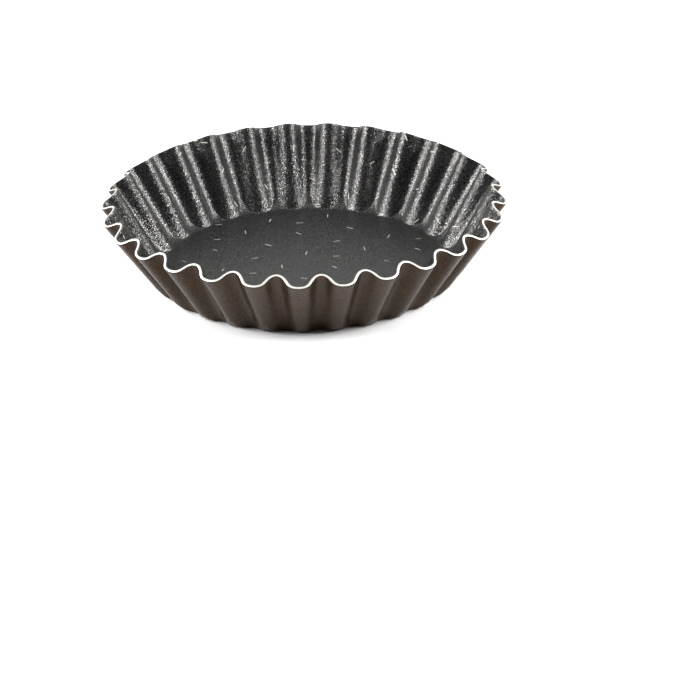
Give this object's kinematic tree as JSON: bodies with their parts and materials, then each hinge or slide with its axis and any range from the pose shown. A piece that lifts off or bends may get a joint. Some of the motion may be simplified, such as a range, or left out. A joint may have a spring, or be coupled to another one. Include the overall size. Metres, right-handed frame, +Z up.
{
  "type": "tart pan",
  "caption": "Small round fluted tart pan in pressed aluminium, with a flat floor, a leaning fluted wall, a bare cut rim and a flecked non-stick lining.",
  "frame": {"origin": "middle of the underside, on the plane that the pan rests on", "axes": "+Z up along the pan's axis, out of its mouth; +X and +Y in the resting plane, with a flute crest 79.16 degrees from +X towards -Y"},
  "size_m": [0.1208, 0.1208, 0.024],
  "materials": {
    "bare_aluminium": "satin cut edge",
    "nonstick_grey": "satin dark grey non-stick coat with fine metallic sparkle",
    "lacquer_brown": "satin dark brown lacquer"
  },
  "bodies": {
    "root": {"pan_body": "bare_aluminium", "nonstick_lining": "nonstick_grey", "outer_coating": "lacquer_brown"}
  },
  "joints": []
}
